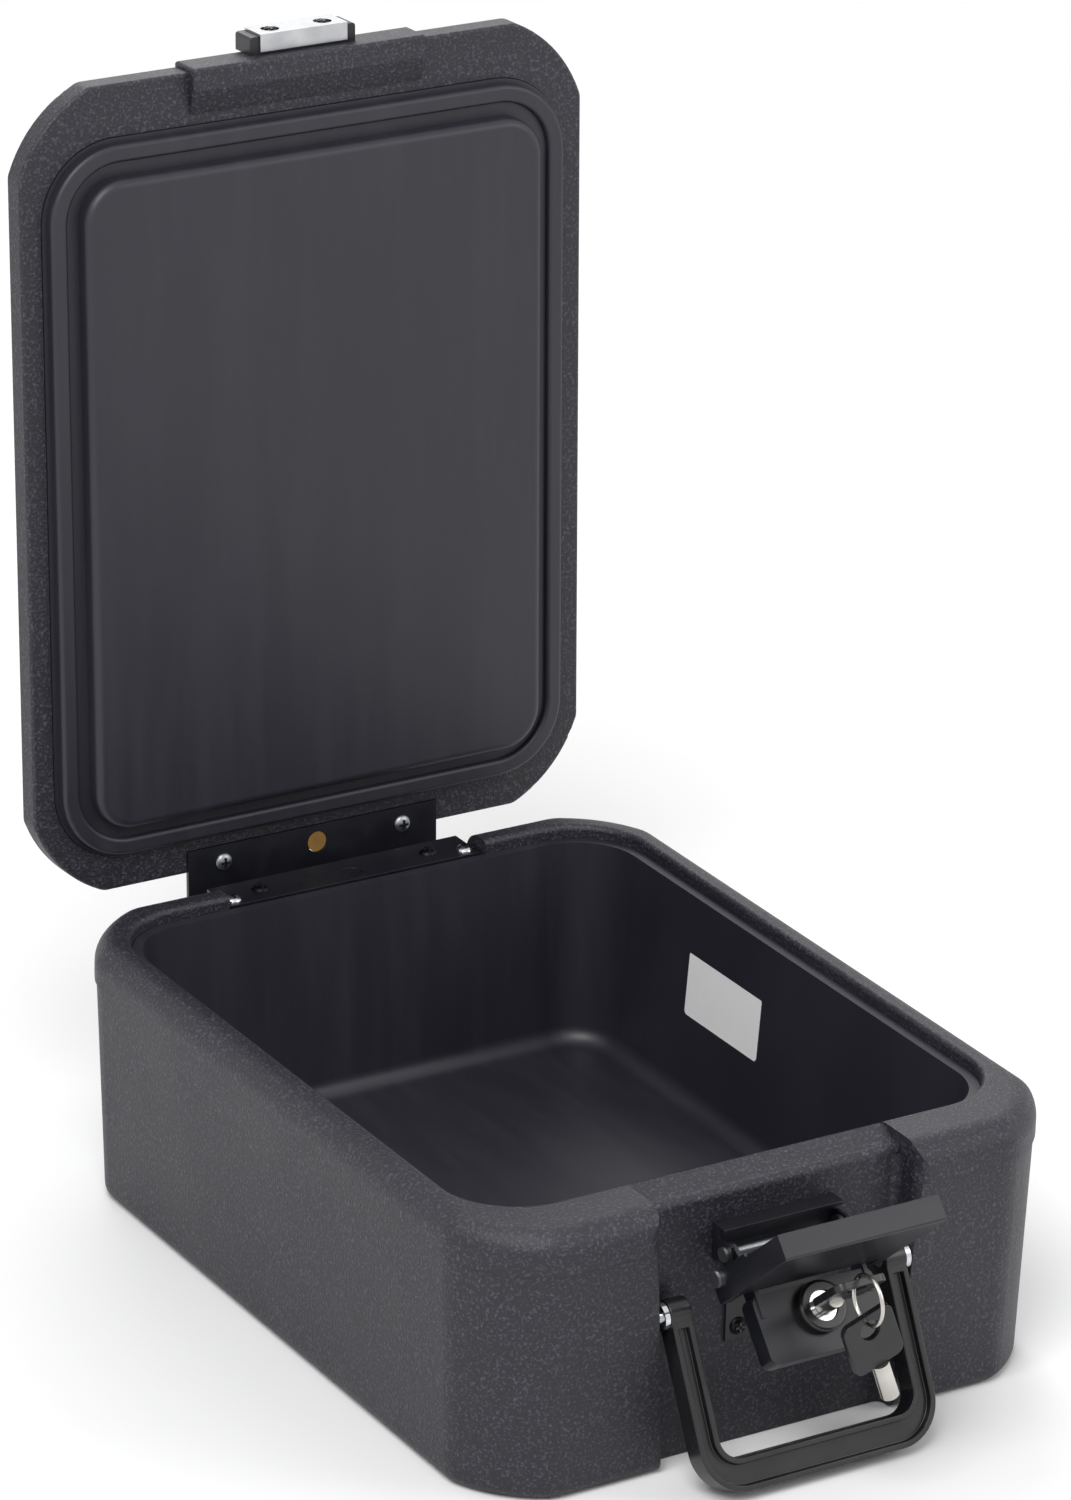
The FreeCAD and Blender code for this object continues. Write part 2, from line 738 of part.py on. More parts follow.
def key_bow(face_y):
    """Flat moulded bow across the end of the tube, with the hole for the ring."""
    start = face_y + key_in - key_tube_l
    bow = box(-bow_w / 2, bow_w / 2, start - bow_l, start, lock_z - bow_t / 2, lock_z + bow_t / 2)
    corners = [e for e in bow.Edges if e.BoundBox.ZLength > bow_t - 0.01]
    bow = bow.makeFillet(bow_corner, corners)
    hole = rod(bow_hole_r, 3 * bow_t, V(0, start - bow_l + bow_hole_in, lock_z - bow_t), Z_AXIS)
    return bow.cut(hole)


lock_face_y = -lever_face - bezel_h + plug_sunk
hole_y = lock_face_y + key_in - key_tube_l - bow_l + bow_hole_in


def lever_pose(shape):
    return turned(shape, -lever_tilt, -latch_pin_y, latch_pin_z)


def pose_point(y, z, angle, about_y, about_z):
    a = math.radians(angle)
    dy = y - about_y
    dz = z - about_z
    return (about_y + dy * math.cos(a) - dz * math.sin(a), about_z + dy * math.sin(a) + dz * math.cos(a))


# The ring goes round the end of the bow, through its hole; the spare key hangs from its lowest point
bow_end_y = hole_y - bow_hole_r - (bow_hole_in - bow_hole_r) / 2
ring_drop = ring_r - ring_wire - bow_t / 2 - seat_gap
ring_y, ring_z = pose_point(bow_end_y, lock_z - ring_drop, -lever_tilt, -latch_pin_y, latch_pin_z)
spare_wire_z = ring_z - ring_r
spare_hang = bow_hole_r - ring_wire - spare_slack


def key_ring():
    return Part.makeTorus(ring_r, ring_wire, V(0, ring_y, ring_z), X_AXIS)


def spare_pose(shape):
    """Carry a key drawn in the lock to where it hangs from the ring."""
    copy = shape.copy()
    copy.translate(V(0, -hole_y, -lock_z))
    copy.rotate(V(0, 0, 0), X_AXIS, -90)
    copy.translate(V(0, 0, -spare_hang))
    copy.rotate(V(0, 0, 0), X_AXIS, spare_tuck)
    copy.rotate(V(0, 0, 0), Y_AXIS, -spare_lean)
    copy.translate(V(0, ring_y, spare_wire_z))
    return copy


def claw_pose(shape):
    about = pose_point(claw_pin_y, claw_pin_z, -lever_tilt, -latch_pin_y, latch_pin_z)
    return turned(lever_pose(shape), claw_lean + lever_tilt, about[0], about[1])


def handle_plan(half, arm, bar, outer_r, inner_r, y):
    """Outline of the bail hanging straight down, in the plane y."""
    low = stud_z - handle_end
    outer = [V(-half, y, stud_z), V(-half, y, low), V(half, y, low), V(half, y, stud_z)]
    inner = [V(half - arm, y, stud_z), V(half - arm, y, low + bar), V(-half + arm, y, low + bar),
             V(-half + arm, y, stud_z)]
    wire = Part.makePolygon(outer + inner + outer[:1])
    solid = Part.Face(wire).extrude(V(0, handle_t, 0))
    long_edges = [e for e in solid.Edges if e.BoundBox.YLength > handle_t - 0.01]
    outer_edges = [e for e in long_edges if abs(e.CenterOfMass.z - low) < 0.01]
    inner_edges = [e for e in long_edges if abs(e.CenterOfMass.z - low - bar) < 0.01]
    return solid.makeFillet(outer_r, outer_edges).makeFillet(inner_r, inner_edges)


def handle():
    """Moulded bail with a channel along its front and a round eye at each stud."""
    y0 = -stud_y - handle_t / 2
    body = handle_plan(handle_half, handle_arm, handle_bar, handle_outer_r, handle_inner_r, y0)
    m = groove_margin
    core = handle_plan(handle_half - m, handle_arm - 2 * m, handle_bar - 2 * m,
                       handle_outer_r - m, handle_inner_r + m, y0)
    core.translate(V(0, handle_groove - handle_t, m))
    low = stud_z - handle_end
    keep = box(-handle_half, handle_half, -base_d, 0, low - over, stud_z - eye_r)
    shape = body.cut(core.common(keep))
    for side in (-1, 1):
        x0 = min(side * handle_half, side * (handle_half - handle_arm))
        eye = rod(eye_r, handle_arm, V(x0, -stud_y, stud_z), X_AXIS)
        bore = rod(stud_r + run_gap, 2 * handle_arm, V(x0 - handle_arm / 2, -stud_y, stud_z), X_AXIS)
        shape = shape.fuse(eye).cut(bore)
    return shape.removeSplitter()


def recess_half(z):
    return recess_foot_half + (recess_top_half - recess_foot_half) * z / rim_z


def handle_studs():
    """Shouldered studs: shank in the side of the recess, flange, and the pin in the eye."""
    wall = recess_half(stud_z)
    studs = []
    for side in (-1, 1):
        axis = V(-side, 0, 0)
        shank = rod(stud_r, stud_sink, V(side * (wall + stud_sink), -stud_y, stud_z), axis)
        pin = rod(stud_r, wall - handle_half + handle_arm, V(side * wall, -stud_y, stud_z), axis)
        gap = wall - handle_half - seat_gap - stud_clear
        flange = rod(stud_flange_r, gap, V(side * (wall - stud_clear), -stud_y, stud_z), axis)
        studs.append(shank.fuse([pin, flange]).removeSplitter())
    return studs


def stud_holes():
    wall = recess_half(stud_z)
    starts = [-wall - stud_sink - seat_gap, wall - stud_sink]
    return [rod(stud_r + run_gap, 2 * stud_sink + seat_gap, V(x, -stud_y, stud_z), X_AXIS) for x in starts]


def save(name, shape):
    solids = shape if isinstance(shape, list) else [shape]
    flat = [s for item in solids for s in item.Solids]
    whole = flat[0] if len(flat) == 1 else Part.makeCompound(flat)
    whole.exportStep("parts/" + name + ".step")
    print(name, len(flat), round(sum(s.Volume for s in flat)), all(s.isValid() for s in flat))


def main():
    os.makedirs("parts", exist_ok=True)
    down = V(0, 0, -1)
    base_screws = [V(x, y, notch_z + leaf_t) for x, y in
                   ((-base_screw_x, base_screw_y), (base_screw_x, base_screw_y),
                    (-end_screw_x, end_screw_y), (end_screw_x, end_screw_y))]
    lid_screws = [V(x, lid_screw_y, lid_z - leaf_proud) for x in (-lid_screw_x, lid_screw_x)]
    plate_screw_x = mount_half - plate_screw_in
    mount_screws = [V(x, -recess_y - sheet, z) for x in (-plate_screw_x, plate_screw_x)
                    for z in (mount_low + plate_screw_in, box_low - plate_screw_drop)]
    keeper_screws = [V(x, -tab_front - keeper_out + head_h, (keeper_low + keeper_high) / 2)
                     for x in (-keeper_screw_x, keeper_screw_x)]
    base_holes = [screw_hole(p, down, screw_l) for p in base_screws]
    mount_holes = [screw_hole(p, Y_AXIS, screw_l) for p in mount_screws]
    lid_holes = [screw_hole(p, Z_AXIS, screw_l) for p in lid_screws]
    keeper_holes = [screw_hole(p, Y_AXIS, keeper_out + screw_l) for p in keeper_screws]
    keeper_holes += [rod(head_r + run_gap, 2 * head_h, p, -Y_AXIS) for p in keeper_screws]
    base_port_y = base_d / 2 - base_port_in
    base_port = fill_hole(base_port_y, void_top - over, rim_z)
    lid_leaf_top = lid_z - leaf_proud + leaf_t
    lid_port = fill_hole(lid_screw_y, lid_z - over, lid_leaf_top)
    shell_holes = base_holes + mount_holes + stud_holes()

    save("base_shell", base_shell(shell_holes + [base_port]))
    save("base_liner", base_liner())
    save("base_fill", base_fill(shell_holes + [base_port]))
    save("base_fill_plug", fill_plug(base_port_y, void_top - over + seat_gap, notch_z + leaf_t - seat_gap))
    save("hinge_base_leaf", base_leaf(base_holes + [base_port]))
    save("hinge_base_screws", [screw(p, down, screw_l) for p in base_screws])
    save("hinge_pin", rod(hinge_pin_r, 2 * leaf_half, V(-leaf_half, hinge_y, hinge_z), X_AXIS))

    save("lid_shell", lid_open_pose(lid_shell(lid_holes + keeper_holes + [lid_port])))
    save("lid_liner", lid_open_pose(lid_liner()))
    save("lid_fill", lid_open_pose(lid_fill(lid_holes + keeper_holes + [lid_port])))
    save("lid_fill_plug", lid_open_pose(fill_plug(lid_screw_y, lid_z - leaf_proud + seat_gap, lid_leaf_top)))
    save("hinge_lid_leaf", lid_open_pose(lid_leaf(lid_holes + [lid_port])))
    save("hinge_lid_screws", [lid_open_pose(screw(p, Z_AXIS, screw_l)) for p in lid_screws])
    save("keeper_body", lid_open_pose(keeper_body(keeper_holes)))
    save("keeper_plate", lid_open_pose(keeper_plate(keeper_holes)))
    save("keeper_screws", [lid_open_pose(screw(p, Y_AXIS, screw_l)) for p in keeper_screws])

    save("latch_plate", mount_plate(mount_holes))
    save("latch_plate_screws", [screw(p, Y_AXIS, screw_l) for p in mount_screws])
    save("lever_pin", cross_pin(box_half + run_gap, latch_pin_r, -latch_pin_y, latch_pin_z, sheet))
    save("lever", lever_pose(lever()))
    save("claw", claw_pose(claw()))
    save("claw_pin", lever_pose(cross_pin(claw_half + run_gap, claw_pin_r, claw_pin_y, claw_pin_z, sheet)))
    save("lock_body", lever_pose(lock_body()))
    save("lock_nut", lever_pose(lock_nut()))
    save("lock_plug", lever_pose(lock_plug()))
    cam_screw_at = V(0, -lever_face + barrel_l + cam_t, lock_z)
    cam_hole = screw_hole(cam_screw_at, -Y_AXIS, cam_t + screw_r)
    save("lock_cam", lever_pose(lock_cam([cam_hole])))
    save("key_tube", lever_pose(key_tube(lock_face_y)))
    save("key_bow", lever_pose(key_bow(lock_face_y)))
    save("key_ring", key_ring())
    save("spare_key_tube", spare_pose(key_tube(lock_face_y)))
    save("spare_key_bow", spare_pose(key_bow(lock_face_y)))
    save("handle", turned(handle(), -handle_lean, -stud_y, stud_z))
    save("handle_studs", handle_studs())


main()
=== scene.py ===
import json
import math

import bmesh
import bpy
from bpy.props import FloatProperty, FloatVectorProperty, PointerProperty
from mathutils import Matrix, Vector


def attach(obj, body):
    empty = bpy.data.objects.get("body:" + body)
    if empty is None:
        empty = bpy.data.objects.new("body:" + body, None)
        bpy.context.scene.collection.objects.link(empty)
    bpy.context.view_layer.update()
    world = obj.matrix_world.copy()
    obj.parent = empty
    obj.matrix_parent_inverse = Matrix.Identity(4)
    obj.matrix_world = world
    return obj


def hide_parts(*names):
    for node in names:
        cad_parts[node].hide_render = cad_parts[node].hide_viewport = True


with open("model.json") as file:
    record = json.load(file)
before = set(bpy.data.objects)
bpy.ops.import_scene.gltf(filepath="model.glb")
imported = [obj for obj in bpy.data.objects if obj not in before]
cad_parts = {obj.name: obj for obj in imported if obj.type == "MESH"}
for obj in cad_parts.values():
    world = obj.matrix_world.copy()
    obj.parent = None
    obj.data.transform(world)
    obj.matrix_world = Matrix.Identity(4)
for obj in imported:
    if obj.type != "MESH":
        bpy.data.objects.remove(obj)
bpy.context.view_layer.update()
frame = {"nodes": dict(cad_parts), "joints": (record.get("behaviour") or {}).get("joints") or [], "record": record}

bl_info = {
    "name": "Cash Box",
    "version": (1, 0, 0),
    "blender": (4, 5, 0),
    "location": "3D View > Sidebar > Cash Box",
    "description": "Finishes, screws, label and studio for a moulded cash box",
    "category": "Object",
}

MM = 0.001


def linear(hex_code):
    """sRGB hex to linear RGBA."""
    channels = [int(hex_code[i:i + 2], 16) / 255 for i in (1, 3, 5)]
    return [c / 12.92 if c <= 0.04045 else ((c + 0.055) / 1.055) ** 2.4 for c in channels] + [1.0]


def node(tree, kind, settings=(), values=(), links=(), ramp=()):
    """Add a node, set it, its sockets and its colour stops, and link its inputs from other outputs."""
    new = tree.nodes.new(kind)
    for name, value in dict(settings).items():
        setattr(new, name, value)
    for name, value in dict(values).items():
        new.inputs[name].default_value = value
    for name, source in dict(links).items():
        tree.links.new(source, new.inputs[name])
    for stop, (place, colour) in enumerate(ramp):
        new.color_ramp.elements[stop].position = place
        new.color_ramp.elements[stop].color = colour
    return new


def colour_prop(name, text, hex_code):
    """A colour that a user may change, given as sRGB hex."""
    return FloatVectorProperty(name=name, description=text, subtype="COLOR", size=4, min=0, max=1,
                               default=linear(hex_code))


def length_prop(name, text, length_mm):
    """A length that a user may change, given in millimetres."""
    return FloatProperty(name=name, description=text, default=length_mm * MM, unit="LENGTH")


class CashBoxFinishes(bpy.types.PropertyGroup):
    """Colours of the cash box."""

    shell: colour_prop("Shell", "Charcoal of the grained outer mouldings", "#1b1a23")
    # Pale colour painted on the grain's tops as their highlight
    shell_grain_highlight: colour_prop("Shell fleck", "Lighter tops of the moulded grain", "#5d5c68")
    liner: colour_prop("Liner", "Black of the smooth inner mouldings", "#211f28")
    liner_haze: colour_prop("Liner haze", "Greyer streaks left by handling", "#2a2931")
    coat: colour_prop("Powder coat", "Black coat of the latch and hinge steel", "#101018")
    handle: colour_prop("Handle", "Black of the handle and key bows", "#141416")
    filling: colour_prop("Filling", "Yellow-brown of the set filling", "#9a7434")
    label: colour_prop("Label", "White of the blank label", "#f6f6f7")
    floor: colour_prop("Floor", "Pale studio floor", "#f7f7f7")


class CashBoxSizes(bpy.types.PropertyGroup):
    """Sizes of the details."""

    grain: length_prop("Shell grain", "Width of one grain of the moulded texture", 1.3)
    head_radius: length_prop("Screw head radius", "Radius of a pan head", 4.0)
    head_height: length_prop("Screw head height", "Height of a pan head", 2.0)
    label_thickness: length_prop("Label thickness", "Thickness of the label", 0.25)


# Widths of the patterns in the finishes, in metres
SCUFF_WIDTH = 60 * MM
SMEAR_SIZE = (12 * MM, 60 * MM, 120 * MM)
LINER_SKIN_WIDTH = 2.4 * MM
WEAR_WIDTH = 15 * MM
# Depth of the relief that each skin's bump stands for, in metres
SHELL_RELIEF = 0.5 * MM
LINER_RELIEF = 0.2 * MM
FINE_RELIEF = 0.15 * MM
# Values of a pattern, from 0 to 1, where its second colour starts and where it is full
# The first stops place the painted highlight on the grain's tops
GRAIN_HIGHLIGHT_STOPS = (0.52, 0.8)
SCUFF_STOPS = (0.35, 0.7)
SMEAR_STOPS = (0.42, 0.85)
WEAR_STOPS = (0.35, 0.8)
# Shades that multiply the shell's colour, from scuffed to clean, and how strongly
SCUFF_SHADES = ("#bcbcbc", "#ffffff")
SCUFF_SHARE = 0.35
# Roughness of the mouldings, from the least to the most
SHELL_ROUGHNESS = (0.42, 0.6)
LINER_ROUGHNESS = (0.4, 0.5)
# How far wear takes any other finish below and above its usual roughness
SMOOTHER = 0.06
ROUGHER = 0.08


def new_material(name):
    """A new material: its node tree, surface shader and Object coordinates."""
    material = bpy.data.materials.new(name)
    material.use_nodes = True
    tree = material.node_tree
    tree.nodes.clear()
    surface = node(tree, "ShaderNodeBsdfPrincipled")
    node(tree, "ShaderNodeOutputMaterial", links={"Surface": surface.outputs["BSDF"]})
    place = node(tree, "ShaderNodeTexCoord").outputs["Object"]
    return tree, surface, place


def grained_polyethylene(look, sizes):
    """Rotation-moulded polyethylene: a pebbled skin whose tops carry a painted highlight as pale spots."""
    tree, surface, place = new_material("moulded_polyethylene_grained")
    pebbles = node(tree, "ShaderNodeTexNoise", links={"Vector": place},
                   values={"Scale": 1 / sizes.grain, "Detail": 3.0, "Roughness": 0.6})
    # Cloudy patches where the skin is scuffed
    clouds = node(tree, "ShaderNodeTexNoise", links={"Vector": place},
                  values={"Scale": 1 / SCUFF_WIDTH, "Detail": 4.0})
    # Painted highlight: the grain's tops, where the pebbles stand highest, are paler
    grain_highlights = node(tree, "ShaderNodeValToRGB", links={"Fac": pebbles.outputs["Fac"]},
                  ramp=zip(GRAIN_HIGHLIGHT_STOPS, (look.shell[:], look.shell_grain_highlight[:])))
    scuffs = node(tree, "ShaderNodeValToRGB", links={"Fac": clouds.outputs["Fac"]},
                  ramp=zip(SCUFF_STOPS, (linear(shade) for shade in SCUFF_SHADES)))
    scuffed = node(tree, "ShaderNodeMix", {"data_type": "RGBA", "blend_type": "MULTIPLY"},
                   {"Factor": SCUFF_SHARE},
                   {"A": grain_highlights.outputs["Color"], "B": scuffs.outputs["Color"]})
    tree.links.new(scuffed.outputs["Result"], surface.inputs["Base Color"])
    gloss = node(tree, "ShaderNodeMapRange", links={"Value": clouds.outputs["Fac"]},
                 values={"To Min": SHELL_ROUGHNESS[0], "To Max": SHELL_ROUGHNESS[1]})
    tree.links.new(gloss.outputs["Result"], surface.inputs["Roughness"])
    bump = node(tree, "ShaderNodeBump", values={"Strength": 0.8, "Distance": SHELL_RELIEF},
                links={"Height": pebbles.outputs["Fac"]})
    tree.links.new(bump.outputs["Normal"], surface.inputs["Normal"])


def smooth_polyethylene(look):
    """Smooth moulded polyethylene: satin black with faint upright smears."""
    tree, surface, place = new_material("moulded_polyethylene_smooth")
    # Smears ten times as long as they are wide
    stretch = node(tree, "ShaderNodeMapping", links={"Vector": place},
                   values={"Scale": [1 / size for size in SMEAR_SIZE]})
    smears = node(tree, "ShaderNodeTexNoise", links={"Vector": stretch.outputs["Vector"]},
                  values={"Scale": 1.0, "Detail": 5.0, "Roughness": 0.6})
    skin = node(tree, "ShaderNodeTexNoise", links={"Vector": place},
                values={"Scale": 1 / LINER_SKIN_WIDTH, "Detail": 2.0})
    haze = node(tree, "ShaderNodeValToRGB", links={"Fac": smears.outputs["Fac"]},
                ramp=zip(SMEAR_STOPS, (look.liner[:], look.liner_haze[:])))
    tree.links.new(haze.outputs["Color"], surface.inputs["Base Color"])
    gloss = node(tree, "ShaderNodeMapRange", links={"Value": smears.outputs["Fac"]},
                 values={"To Min": LINER_ROUGHNESS[0], "To Max": LINER_ROUGHNESS[1]})
    tree.links.new(gloss.outputs["Result"], surface.inputs["Roughness"])
    bump = node(tree, "ShaderNodeBump", values={"Strength": 0.16, "Distance": LINER_RELIEF},
                links={"Height": skin.outputs["Fac"]})
    tree.links.new(bump.outputs["Normal"], surface.inputs["Normal"])


def simple_finish(name, base, worn, rough, metal, grain_mm, bump_strength):
    """A finish with slight colour and gloss variation over a fine skin.

    A skin that is really finer than grain_mm is drawn that coarse, so that it shows.
    """
    tree, surface, place = new_material(name)
    surface.inputs["Metallic"].default_value = metal
    skin = node(tree, "ShaderNodeTexNoise", links={"Vector": place},
                values={"Scale": 1 / (grain_mm * MM), "Detail": 3.0})
    wear = node(tree, "ShaderNodeTexNoise", links={"Vector": place},
                values={"Scale": 1 / WEAR_WIDTH, "Detail": 4.0})
    tones = node(tree, "ShaderNodeValToRGB", links={"Fac": wear.outputs["Fac"]},
                 ramp=zip(WEAR_STOPS, (base, worn)))
    tree.links.new(tones.outputs["Color"], surface.inputs["Base Color"])
    gloss = node(tree, "ShaderNodeMapRange", links={"Value": wear.outputs["Fac"]},
                 values={"To Min": rough - SMOOTHER, "To Max": rough + ROUGHER})
    tree.links.new(gloss.outputs["Result"], surface.inputs["Roughness"])
    bump = node(tree, "ShaderNodeBump", values={"Strength": bump_strength, "Distance": FINE_RELIEF},
                links={"Height": skin.outputs["Fac"]})
    tree.links.new(bump.outputs["Normal"], surface.inputs["Normal"])


def make_finishes(look, sizes):
    """Every material of the box."""
    grained_polyethylene(look, sizes)
    smooth_polyethylene(look)
    # Powder coat on pressed steel: satin, faint orange peel
    simple_finish("powder_coated_steel", look.coat[:], linear("#1c1d20"),
                  rough=0.34, metal=0.0, grain_mm=1.2, bump_strength=0.18)
    # Injection-moulded ABS of the handle and key bows: glossier, fine spark texture
    simple_finish("moulded_abs_black", look.handle[:], linear("#1c1c1f"),
                  rough=0.26, metal=0.0, grain_mm=0.8, bump_strength=0.1)
    # Chromium plate: mirror bright with faint handling haze
    simple_finish("chromium_plate", linear("#d9dadd"), linear("#c4c5c9"),
                  rough=0.14, metal=1.0, grain_mm=3.0, bump_strength=0.02)
    # Nickel plate of keys and ring: warmer and a little softer than chromium
    simple_finish("nickel_plate", linear("#cfccc6"), linear("#b3b0aa"),
                  rough=0.22, metal=1.0, grain_mm=1.0, bump_strength=0.05)
    # Zinc-plated steel of pins, cam and nut: duller and patchy
    simple_finish("zinc_plated_steel", linear("#a9abae"), linear("#85878b"),
                  rough=0.38, metal=1.0, grain_mm=0.7, bump_strength=0.1)
    # Satin nickel of the striker plate: bright, with a soft highlight
    simple_finish("satin_nickel", linear("#c9cacc"), linear("#a7a8ab"),
                  rough=0.3, metal=1.0, grain_mm=0.6, bump_strength=0.08)
    # Blackened steel of the screws: dark, with a dim metal sheen
    simple_finish("blackened_steel", linear("#1b1b1d"), linear("#303034"),
                  rough=0.35, metal=1.0, grain_mm=0.7, bump_strength=0.1)
    # Set mineral filling: dull, granular
    simple_finish("set_filling", look.filling[:], linear("#6d5226"),
                  rough=0.62, metal=0.0, grain_mm=0.9, bump_strength=0.5)
    # Coated paper of the label: matte white, slight fibre
    simple_finish("label_paper", look.label[:], linear("#f2f2f2"),
                  rough=0.55, metal=0.0, grain_mm=0.6, bump_strength=0.04)


def finishes(look, sizes):
    """The materials, found by name and made on the first call."""
    if "moulded_polyethylene_grained" not in bpy.data.materials:
        make_finishes(look, sizes)
    return bpy.data.materials


# Which solids have which material
NODE_FINISH = {
    "moulded_polyethylene_grained": ("base_shell", "lid_shell"),
    "moulded_polyethylene_smooth": ("base_liner", "lid_liner"),
    "powder_coated_steel": ("hinge_base_leaf", "hinge_lid_leaf", "latch_plate", "lever", "claw",
                            "keeper_body"),
    "zinc_plated_steel": ("hinge_pin", "lever_pin", "claw_pin", "lock_cam", "lock_nut"),
    "satin_nickel": ("keeper_plate",),
    "moulded_abs_black": ("lock_body", "key_bow", "spare_key_bow", "handle", "base_fill_plug"),
    "chromium_plate": ("lock_plug", "handle_studs"),
    "nickel_plate": ("key_tube", "spare_key_tube", "key_ring"),
    "set_filling": ("base_fill", "lid_fill", "lid_fill_plug"),
    "blackened_steel": ("hinge_base_screws", "hinge_lid_screws", "latch_plate_screws", "keeper_screws"),
}


class CASHBOX_OT_finish_solids(bpy.types.Operator):
    """Give every solid of the frame its material"""

    bl_idname = "cashbox.finish_solids"
    bl_label = "Finish solids"

    def execute(self, context):
        scene = context.scene
        made = finishes(scene.cash_box_finishes, scene.cash_box_sizes)
        for name, nodes in NODE_FINISH.items():
            for solid in nodes:
                for slot in frame["nodes"][solid].material_slots:
                    slot.material = made[name]
        return {"FINISHED"}


def new_piece(name, data):
    """A new object in the scene, from a mesh, a lamp or a camera."""
    obj = bpy.data.objects.new(name, data)
    bpy.context.scene.collection.objects.link(obj)
    return obj


def apply_modifiers(obj):
    """Turn a piece and its modifiers into a plain mesh."""
    depsgraph = bpy.context.evaluated_depsgraph_get()
    result = bpy.data.meshes.new_from_object(obj.evaluated_get(depsgraph))
    obj.modifiers.clear()
    obj.data = result


# Facets of a screw's domed head
HEAD_SEGMENTS = 32
HEAD_RINGS = 16
# Cross recess, drawn as a dark solid cross that paints the recess's shade: its bars in head radii, and its place
# in head heights
CROSS_LENGTH = 1.15
CROSS_WIDTH = 0.26
CROSS_DEPTH = 0.3
CROSS_LIFT = 0.86

SCREW_INPUTS = {
    "Points": "NodeSocketGeometry",
    "Radius": "NodeSocketFloat",
    "Height": "NodeSocketFloat",
    "Turn": "NodeSocketVector",
    "Metal": "NodeSocketMaterial",
    "Recess": "NodeSocketMaterial",
}


def screw_tree():
    """Pan-head screws on points: domed head and the dark cross on it, painted shade of the cross recess."""
    tree = bpy.data.node_groups.new("pan_head_screws", "GeometryNodeTree")
    sockets = {}
    for name, kind in SCREW_INPUTS.items():
        sockets[name] = tree.interface.new_socket(name, in_out="INPUT", socket_type=kind).identifier
    tree.interface.new_socket("Screws", in_out="OUTPUT", socket_type="NodeSocketGeometry")
    given = node(tree, "NodeGroupInput").outputs
    flatness = node(tree, "ShaderNodeMath", {"operation": "DIVIDE"}, (),
                    {0: given["Height"], 1: given["Radius"]})
    dome_scale = node(tree, "ShaderNodeCombineXYZ", values={"X": 1.0, "Y": 1.0},
                      links={"Z": flatness.outputs[0]})
    ball = node(tree, "GeometryNodeMeshUVSphere", values={"Segments": HEAD_SEGMENTS, "Rings": HEAD_RINGS},
                links={"Radius": given["Radius"]})
    dome = node(tree, "GeometryNodeTransform",
                links={"Geometry": ball.outputs["Mesh"], "Scale": dome_scale.outputs[0]})
    head = node(tree, "GeometryNodeSetMaterial",
                links={"Geometry": dome.outputs[0], "Material": given["Metal"]})
    cross = node(tree, "GeometryNodeJoinGeometry")
    for length, width in ((CROSS_LENGTH, CROSS_WIDTH), (CROSS_WIDTH, CROSS_LENGTH)):
        size = node(tree, "ShaderNodeVectorMath", {"operation": "SCALE"}, {0: (length, width, CROSS_DEPTH)},
                    {"Scale": given["Radius"]})
        bar = node(tree, "GeometryNodeMeshCube", links={"Size": size.outputs[0]})
        tree.links.new(bar.outputs["Mesh"], cross.inputs[0])
    height = node(tree, "ShaderNodeMath", {"operation": "MULTIPLY"}, {1: CROSS_LIFT}, {0: given["Height"]})
    lift = node(tree, "ShaderNodeCombineXYZ", links={"Z": height.outputs[0]})
    raised = node(tree, "GeometryNodeTransform",
                  links={"Geometry": cross.outputs[0], "Translation": lift.outputs[0]})
    # The cross takes the dark recess material as painted shade of the hollow
    dark = node(tree, "GeometryNodeSetMaterial",
                links={"Geometry": raised.outputs[0], "Material": given["Recess"]})
    screw = node(tree, "GeometryNodeJoinGeometry")
    tree.links.new(head.outputs[0], screw.inputs[0])
    tree.links.new(dark.outputs[0], screw.inputs[0])
    points = node(tree, "GeometryNodeMeshToPoints", links={"Mesh": given["Points"]})
    turn = node(tree, "FunctionNodeEulerToRotation", links={"Euler": given["Turn"]})
    placed = node(tree, "GeometryNodeInstanceOnPoints", links={
        "Points": points.outputs[0], "Instance": screw.outputs[0], "Rotation": turn.outputs[0]})
    real = node(tree, "GeometryNodeRealizeInstances", links={"Geometry": placed.outputs[0]})
    node(tree, "NodeGroupOutput", links={"Screws": real.outputs[0]})
    return tree, sockets


# Screws of the lid are placed on the shut lid, then carried open with it about its hinge
LID_HINGE = next(joint for joint in frame["joints"] if joint["name"] == "lid_hinge")
LID_OPEN = LID_HINGE["range_deg"][0]


def lid_point(point):
    """A point of the shut lid, in metres, carried to the open lid."""
    turn = Matrix.Rotation(math.radians(LID_OPEN), 3, "X")
    pivot = Vector(LID_HINGE["pos_m"])
    return turn @ (point - pivot) + pivot


# Screw groups: name, body, solids that they stand for, seats in mm, turn about X in degrees, metal
SCREW_GROUPS = (
    ("hinge_end_screws", "base", ("hinge_base_screws",),
     [(x, 178.5, 116.0) for x in (-59.5, 59.5)], 0.0, "chromium_plate"),
    ("hinge_plate_screws", "base", ("hinge_base_screws",),
     [(x, 183.0, 116.0) for x in (-43.0, 43.0)], 0.0, "blackened_steel"),
    ("lid_plate_screws", "lid", ("hinge_lid_screws",),
     [(x, 184.0, 121.6) for x in (-46.0, 46.0)], 180.0 + LID_OPEN, "zinc_plated_steel"),
    ("striker_screws", "lid", ("keeper_screws",),
     [(x, -191.2, 130.8) for x in (-13.0, 13.0)], 90.0 + LID_OPEN, "blackened_steel"),
    ("latch_screws", "base", ("latch_plate_screws",),
     [(x, -173.5, z) for x in (-16.0, 16.0) for z in (53.5, 79.0)], 90.0, "blackened_steel"),
)


